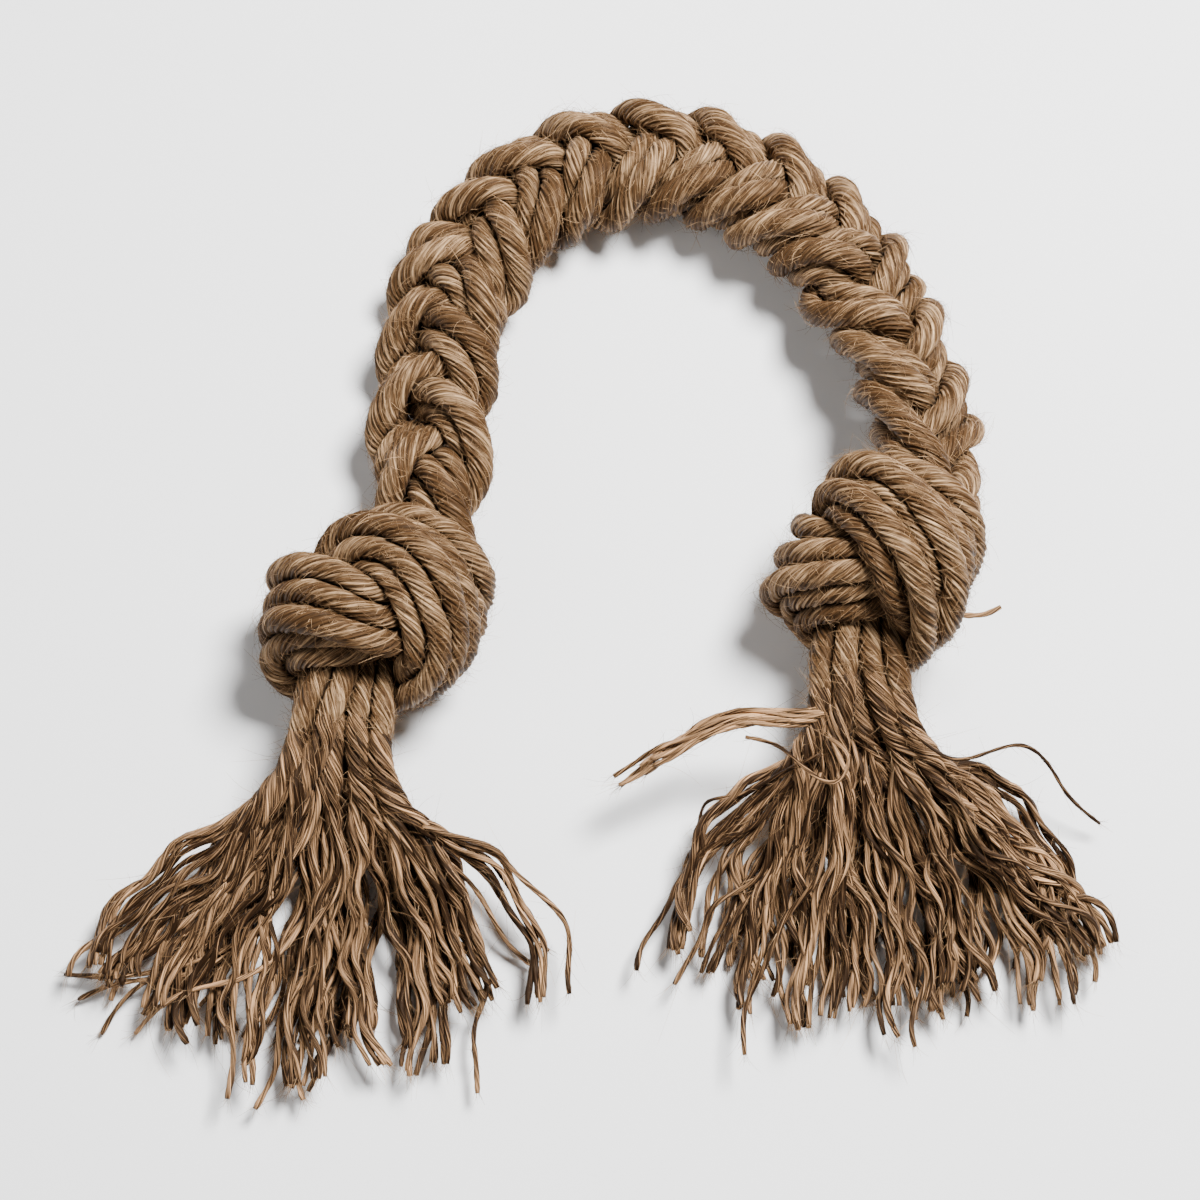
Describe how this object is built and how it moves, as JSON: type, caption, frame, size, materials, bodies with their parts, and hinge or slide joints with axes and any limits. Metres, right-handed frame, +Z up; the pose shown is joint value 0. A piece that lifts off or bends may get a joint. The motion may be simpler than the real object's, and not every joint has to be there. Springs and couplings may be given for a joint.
{
  "type": "rope dog toy",
  "caption": "Arched tug toy of plaited jute rope, with a big overhand knot and a frayed tassel at each end; the arch opens and each tassel swings.",
  "frame": {"origin": "on the table, under the middle of the toy's outline", "axes": "+Z up from the table, +Y towards the crown of the arch, +X towards the right-hand knot"},
  "size_m": [0.2988, 0.3042, 0.0629],
  "materials": {
    "jute_cord": "coarse laid jute, matte, with stray fibres",
    "frayed_jute": "loose jute yarns, matte"
  },
  "bodies": {
    "left_half": {"left_plait_cord_a1": "jute_cord", "left_plait_cord_b1": "jute_cord", "left_plait_cord_c1": "jute_cord", "left_plait_cord_a2": "jute_cord", "left_plait_cord_b2": "jute_cord", "left_plait_cord_c2": "jute_cord", "left_plait_cord_a3": "jute_cord", "left_plait_cord_b3": "jute_cord", "left_plait_cord_c3": "jute_cord", "left_knot_cord_a1": "jute_cord", "left_knot_cord_b1": "jute_cord", "left_knot_cord_c1": "jute_cord", "left_knot_cord_a2": "jute_cord", "left_knot_cord_b2": "jute_cord", "left_knot_cord_c2": "jute_cord", "left_knot_cord_a3": "jute_cord", "left_knot_cord_b3": "jute_cord", "left_knot_cord_c3": "jute_cord"},
    "right_half": {"right_plait_cord_a1": "jute_cord", "right_plait_cord_b1": "jute_cord", "right_plait_cord_c1": "jute_cord", "right_plait_cord_a2": "jute_cord", "right_plait_cord_b2": "jute_cord", "right_plait_cord_c2": "jute_cord", "right_plait_cord_a3": "jute_cord", "right_plait_cord_b3": "jute_cord", "right_plait_cord_c3": "jute_cord", "right_knot_cord_a1": "jute_cord", "right_knot_cord_b1": "jute_cord", "right_knot_cord_c1": "jute_cord", "right_knot_cord_a2": "jute_cord", "right_knot_cord_b2": "jute_cord", "right_knot_cord_c2": "jute_cord", "right_knot_cord_a3": "jute_cord", "right_knot_cord_b3": "jute_cord", "right_knot_cord_c3": "jute_cord"},
    "left_tassel": {"left_frayed_end_a1": "frayed_jute", "left_frayed_end_b1": "frayed_jute", "left_frayed_end_c1": "frayed_jute", "left_frayed_end_a2": "frayed_jute", "left_frayed_end_b2": "frayed_jute", "left_frayed_end_c2": "frayed_jute", "left_frayed_end_a3": "frayed_jute", "left_frayed_end_b3": "frayed_jute", "left_frayed_end_c3": "frayed_jute"},
    "right_tassel": {"right_frayed_end_a1": "frayed_jute", "right_frayed_end_b1": "frayed_jute", "right_frayed_end_c1": "frayed_jute", "right_frayed_end_a2": "frayed_jute", "right_frayed_end_b2": "frayed_jute", "right_frayed_end_c2": "frayed_jute", "right_frayed_end_a3": "frayed_jute", "right_frayed_end_b3": "frayed_jute", "right_frayed_end_c3": "frayed_jute"}
  },
  "joints": [
    {"name": "arch_bend", "type": "hinge", "parent": "left_half", "child": "right_half", "pos_m": [0.01202, 0.15049, 0.016], "axis": [0, 0, 1], "range_deg": [0, 60]},
    {"name": "left_tassel_swing", "type": "hinge", "parent": "left_half", "child": "left_tassel", "pos_m": [-0.07898, -0.07708, 0.025], "axis": [0, 0, 1], "range_deg": [-25, 10]},
    {"name": "right_tassel_swing", "type": "hinge", "parent": "right_half", "child": "right_tassel", "pos_m": [0.07402, -0.06408, 0.025], "axis": [0, 0, 1], "range_deg": [-10, 25]}
  ]
}
